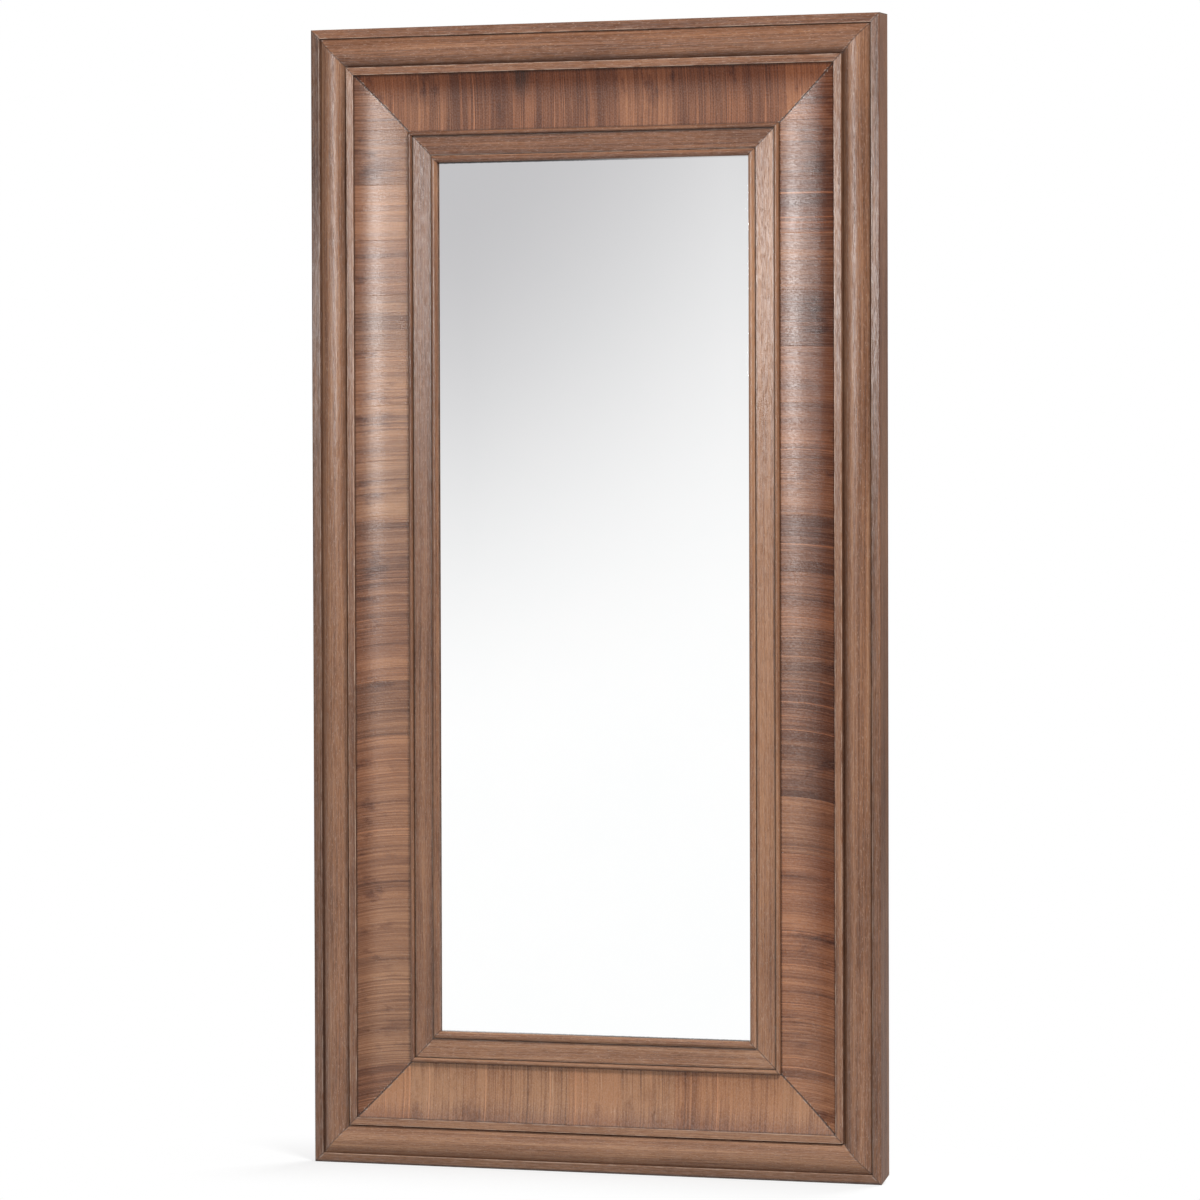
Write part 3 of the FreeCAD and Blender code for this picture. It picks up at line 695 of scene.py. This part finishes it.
def fibreboard(name):
    """Smooth brown fibreboard with a felted speckle."""
    material, t, shader = new_material(name)
    place = t.place()
    fine = t.noise(place, 950.0, 3.0, 0.6)
    cloud = t.noise(place, 9.0, 4.0, 0.55)
    fibre = t.noise(place, 210.0, 3.0, 0.6, 1.2)
    tone = t.total((fibre, 0.35), (fine, 0.45), (cloud, 0.20))
    stops = [(0.0, BOARD_DARK), (1.0, BOARD_LIGHT)]
    t.put(t.ramp(t.span(tone, *BOARD_RANGE, smooth=False), stops), shader.inputs["Base Color"])
    t.put(t.math("MULTIPLY_ADD", cloud, 0.2, 0.52), shader.inputs["Roughness"])
    t.put(t.bump(fine, strength=0.22, distance=0.0004), shader.inputs["Normal"])
    return material


def zinc(name):
    """Bright zinc plate: faint spangle, rubbed streaks and a little tarnish."""
    material, t, shader = new_material(name)
    place = t.place()
    cell = t.add("ShaderNodeTexVoronoi")
    t.put(place, cell.inputs["Vector"])
    cell.inputs["Scale"].default_value = 420.0
    shades = t.add("ShaderNodeSeparateColor")
    t.put(cell.outputs["Color"], shades.inputs[0])
    tarnish = t.noise(place, 130.0, 4.0, 0.6)
    rub = t.noise(place, 1900.0, 2.0, 0.5)
    tone = t.total((tarnish, 0.65), (shades.outputs[0], 0.35))
    stops = [(0.2, ZINC_DULL), (0.55, ZINC_PLAIN), (0.9, ZINC_BRIGHT)]
    t.put(t.ramp(tone, stops), shader.inputs["Base Color"])
    shader.inputs["Metallic"].default_value = 1.0
    dull = t.math("MULTIPLY_ADD", rub, 0.12, 0.16)
    t.put(t.math("MULTIPLY_ADD", tarnish, 0.22, dull), shader.inputs["Roughness"])
    t.put(t.bump(rub, strength=0.10, distance=0.0002), shader.inputs["Normal"])
    return material


def silvered(name):
    """Silvered glass with a trace of dust and wiping marks."""
    material, t, shader = new_material(name)
    place = t.place()
    haze = t.noise(place, 3.0, 5.0, 0.6)
    wipe = t.noise(place, 22.0, 3.0, 0.55, 0.8)
    tone = t.total((haze, 0.7), (wipe, 0.3))
    colour = t.ramp(tone, [(0.3, SILVER_HAZE), (0.7, SILVER_CLEAR)])
    # painted shade: a thin uneven dark line along the sight edge, the reflection of the shaded rabbet,
    # except on the right
    x, _, z = t.split(place)
    half_width, half_height = (FRAME_WIDTH / 2 - RAIL) * MM, (FRAME_HEIGHT / 2 - RAIL) * MM
    uneven = t.times(t.less(t.noise(place, 160.0, 3.0), 0.5), LINE_WAVER)
    above = t.less(half_height, t.plus(z, uneven))
    under = t.plus(half_height, t.plus(z, uneven))
    aside = t.plus(half_width, t.plus(x, uneven))
    top = t.times(t.span(above, *TOP_LINE), t.span(x, *TOP_FADE))
    foot = t.times(t.span(under, *FOOT_LINE), t.span(x, *FOOT_FADE))
    edge = t.times(t.span(aside, *LEFT_LINE), LEFT_STRENGTH)
    colour = t.mix(t.math("MAXIMUM", top, t.math("MAXIMUM", foot, edge)), colour, SILVER_SHADOW_LINE)
    t.put(colour, shader.inputs["Base Color"])
    shader.inputs["Metallic"].default_value = 1.0
    t.put(t.span(tone, 0.45, 0.8, 0.004, 0.012), shader.inputs["Roughness"])
    return material


walnut_outer = long_grain("walnut_outer", seed=1.3, tones=OUTER_TONE, crease_shade_strength=0.62, outer=True)
walnut_sight = long_grain("walnut_sight", seed=8.9, tones=SIGHT_TONE, crease_shade_strength=0.72, outer=False)
veneer = cross_veneer("walnut_veneer")
bare_upright = bare_wood("bare_wood_upright", "Z", *PLAIN_WOOD, scale=120.0)
bare_level = bare_wood("bare_wood_level", "X", *PLAIN_WOOD, scale=120.0)
beech = bare_wood("beech", "X", *BEECH_WOOD, scale=90.0)
board = fibreboard("fibreboard")
steel = zinc("zinc_steel")
mirror = silvered("silvered_glass")


def dress(node, material):
    node.data.materials.clear()
    node.data.materials.append(material)


# Pieces

cove_ends = [(OUTER, cove_height(OUTER)), (SIGHT_START, cove_height(SIGHT_START))]
made = (
    ("outer_moulding", "walnut_outer_", outer_outline(), OUTER_ROUND, cove_ends[:1],
     walnut_outer, "walnut"),
    ("cove_veneer", "walnut_cove_", cove_outline(), 0.0, cove_ends,
     veneer, "walnut_veneer"),
    ("sight_moulding", "walnut_sight_", sight_outline(), SIGHT_ROUND, cove_ends[1:],
     walnut_sight, "walnut"),
)
for side in SIDES:
    for node, prefix, profile, rounding, joints, material, slot in made:
        footed = node == "outer_moulding" and side != "top"
        piece = swept(prefix + side, side, profile, rounding, joints, footed)
        piece.data.materials.append(material)
        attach(piece, "frame")
        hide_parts(node + "_" + side)
    level = side in ("top", "bottom")
    for prefix in ("cove_core_", "glazing_batten_", "back_rail_" if level else "back_stile_"):
        dress(nodes[prefix + side], bare_level if level else bare_upright)
for name, node in nodes.items():
    if "screws" in name or name.startswith("hanger"):
        dress(node, steel)
    elif "biscuits" in name or "dowels" in name:
        dress(node, beech)
dress(nodes["mirror_glass"], mirror)
dress(nodes["backing_board"], board)


# Stage, light and camera

WHITE = (1.0, 1.0, 1.0)
FLOOR_SIZE, FLOOR_GAP = 14.0, 0.0005
# The floor's grey as it's seen and as it throws light back
FLOOR_SEEN, FLOOR_LIT = (0.82, 0.82, 0.82), (0.25, 0.25, 0.25)
# The shadow fades to white over a distance from the frame's foot; there the floor glows so much at least
FOOT_HALF, SHADOW_FADE, LEAST_GLOW = 0.53, 0.42, 0.70
# The glass shows the room between two directions to the left, from a little below the level upwards
ROOM_RIGHT, ROOM_LEFT, ROOM_MIDDLE, ROOM_LOW = 0.324, 0.367, 0.345, 0.0223
ROOM_GREY, ROOM_DIM = srgb(196, 195, 197), (0.30, 0.30, 0.30)
# How steeply the room greys upwards and how grey it starts, then what the left adds to both
GREY_RISE, GREY_RISE_LEFT = (6.3, 0.10), (3.7, 0.16)
# Where the bright part of the room ends, to the sides and upwards
BRIGHT_ASIDE, BRIGHT_ABOVE = (0.16, 0.06), (0.30, 0.12)
EVEN_LIGHT = 0.155
# Place, aim, width, height and power of each softbox
SOFTBOXES = {
    "sheen_right": ((-1.02, -4.3, 0.70), (0.0, 0.0, 0.6), 0.25, 0.5, 32.0),
    "sheen_mid": ((-1.72, -4.3, 1.32), (0.0, 0.0, 0.6), 0.60, 0.4, 17.5),
    "sheen_left": ((-2.35, -4.3, 0.72), (0.0, 0.0, 0.6), 0.30, 0.4, 8.5),
    "high_right": ((5.0, -6.0, 6.5), (0.0, 0.0, 0.0), 2.0, 2.0, 840.0),
    "back_fill": ((1.5, 5.0, 3.6), (0.0, 0.0, 0.0), 3.0, 2.0, 420.0),
}
AZIMUTH, ELEVATION, ROLL = math.radians(20.21), math.radians(1.27), math.radians(-0.16)
DISTANCE, FOCAL, IMAGE = 10.09, 5695.0, 1200.0
AIM = Vector((-0.001, 0.0, -0.0037))
SENSOR, FAR = 36.0, 200.0

scene = bpy.context.scene
scene.view_settings.view_transform = "Standard"


def ground(name):
    """White to the eye but for the shadow, grey to the light that it throws back."""
    material = bpy.data.materials.new(name)
    material.use_nodes = True
    t = Tree(material.node_tree)
    t.tree.nodes.clear()
    path = t.add("ShaderNodeLightPath").outputs
    reflected = t.math("MAXIMUM", path["Is Glossy Ray"], path["Is Transmission Ray"])
    seen = t.math("MAXIMUM", path["Is Camera Ray"], reflected)
    plain = t.add("ShaderNodeBsdfDiffuse")
    t.put(t.mix(seen, FLOOR_LIT, FLOOR_SEEN), plain.inputs["Color"])
    glow = t.add("ShaderNodeEmission")
    glow.inputs["Color"].default_value = (*WHITE, 1.0)
    x, y, _ = t.split(t.place())
    beyond = t.math("MAXIMUM", t.less(t.math("ABSOLUTE", x), FOOT_HALF), 0.0)
    beside = t.math("ABSOLUTE", y)
    gone = t.math("SQRT", t.plus(t.math("POWER", beyond, 2.0), t.math("POWER", beside, 2.0)))
    lit = t.add("ShaderNodeMixShader")
    t.put(t.times(seen, t.span(gone, 0.0, SHADOW_FADE, LEAST_GLOW, 1.0)), lit.inputs[0])
    t.put(plain.outputs[0], lit.inputs[1])
    t.put(glow.outputs[0], lit.inputs[2])
    t.put(lit.outputs[0], t.add("ShaderNodeOutputMaterial").inputs["Surface"])
    return material


def studio(name):
    """White to the eye, a room to what reflects, and an even light."""
    world = bpy.data.worlds.new(name)
    world.use_nodes = True
    t = Tree(world.node_tree)
    t.tree.nodes.clear()
    x, _, z = t.split(t.place("Generated"))
    # what the glass sees: grey high on the left, white low and to the right
    left = t.span(t.times(x, -1.0), ROOM_RIGHT, ROOM_LEFT, smooth=False)
    rise = t.plus(z, ROOM_LOW)
    grey = t.math("MULTIPLY_ADD", rise, *GREY_RISE)
    grey = t.plus(grey, t.times(left, t.math("MULTIPLY_ADD", rise, *GREY_RISE_LEFT)))
    room = t.mix(t.span(grey, 0.0, 1.0), WHITE, ROOM_GREY)
    # only that part of the room is bright; the rest of it is dimmer, so the sheen on the wood stays low
    aside = t.math("ABSOLUTE", t.plus(x, ROOM_MIDDLE))
    bright = t.times(t.span(aside, *BRIGHT_ASIDE), t.span(z, *BRIGHT_ABOVE))
    room = t.mix(bright, ROOM_DIM, room)
    path = t.add("ShaderNodeLightPath").outputs
    reflected = t.math("MAXIMUM", path["Is Glossy Ray"], path["Is Transmission Ray"])
    shown = t.add("ShaderNodeBackground")
    t.put(t.mix(path["Is Camera Ray"], room, WHITE), shown.inputs["Color"])
    shown.inputs["Strength"].default_value = 1.0
    even = t.add("ShaderNodeBackground")
    even.inputs["Color"].default_value = (*WHITE, 1.0)
    even.inputs["Strength"].default_value = EVEN_LIGHT
    both = t.add("ShaderNodeMixShader")
    t.put(t.math("MAXIMUM", reflected, path["Is Camera Ray"]), both.inputs[0])
    t.put(even.outputs[0], both.inputs[1])
    t.put(shown.outputs[0], both.inputs[2])
    t.put(both.outputs[0], t.add("ShaderNodeOutputWorld").inputs["Surface"])
    return world


floor_mesh = bpy.data.meshes.new("floor")
r = FLOOR_SIZE / 2
floor_mesh.from_pydata([(-r, -r, 0), (r, -r, 0), (r, r, 0), (-r, r, 0)], [], [(0, 1, 2, 3)])
floor_mesh.materials.append(ground("floor"))
floor = bpy.data.objects.new("floor", floor_mesh)
floor.location = (0.0, 0.0, -FRAME_HEIGHT / 2 * MM - FLOOR_GAP)
scene.collection.objects.link(floor)
scene.world = studio("studio")

for name, (place, aim, width, height, power) in SOFTBOXES.items():
    lamp = bpy.data.lights.new(name, "AREA")
    lamp.shape = "RECTANGLE"
    lamp.size, lamp.size_y = width, height
    lamp.energy = power
    item = bpy.data.objects.new(name, lamp)
    item.location = place
    item.rotation_euler = (Vector(aim) - Vector(place)).to_track_quat("-Z", "Y").to_euler()
    scene.collection.objects.link(item)

flat = math.cos(ELEVATION)
back = Vector((math.sin(AZIMUTH) * flat, -math.cos(AZIMUTH) * flat, math.sin(ELEVATION)))
sideways = (-back).cross(Vector((0, 0, 1))).normalized()
upwards = sideways.cross(-back)
right = sideways * math.cos(ROLL) + upwards * math.sin(ROLL)
up = upwards * math.cos(ROLL) - sideways * math.sin(ROLL)
view = bpy.data.cameras.new("camera")
view.sensor_width = SENSOR
view.lens = FOCAL / IMAGE * SENSOR
view.clip_end = FAR
camera = bpy.data.objects.new("camera", view)
turned = Matrix((right, up, back)).transposed().to_4x4()
camera.matrix_world = Matrix.Translation(AIM + back * DISTANCE) @ turned
scene.collection.objects.link(camera)
scene.camera = camera
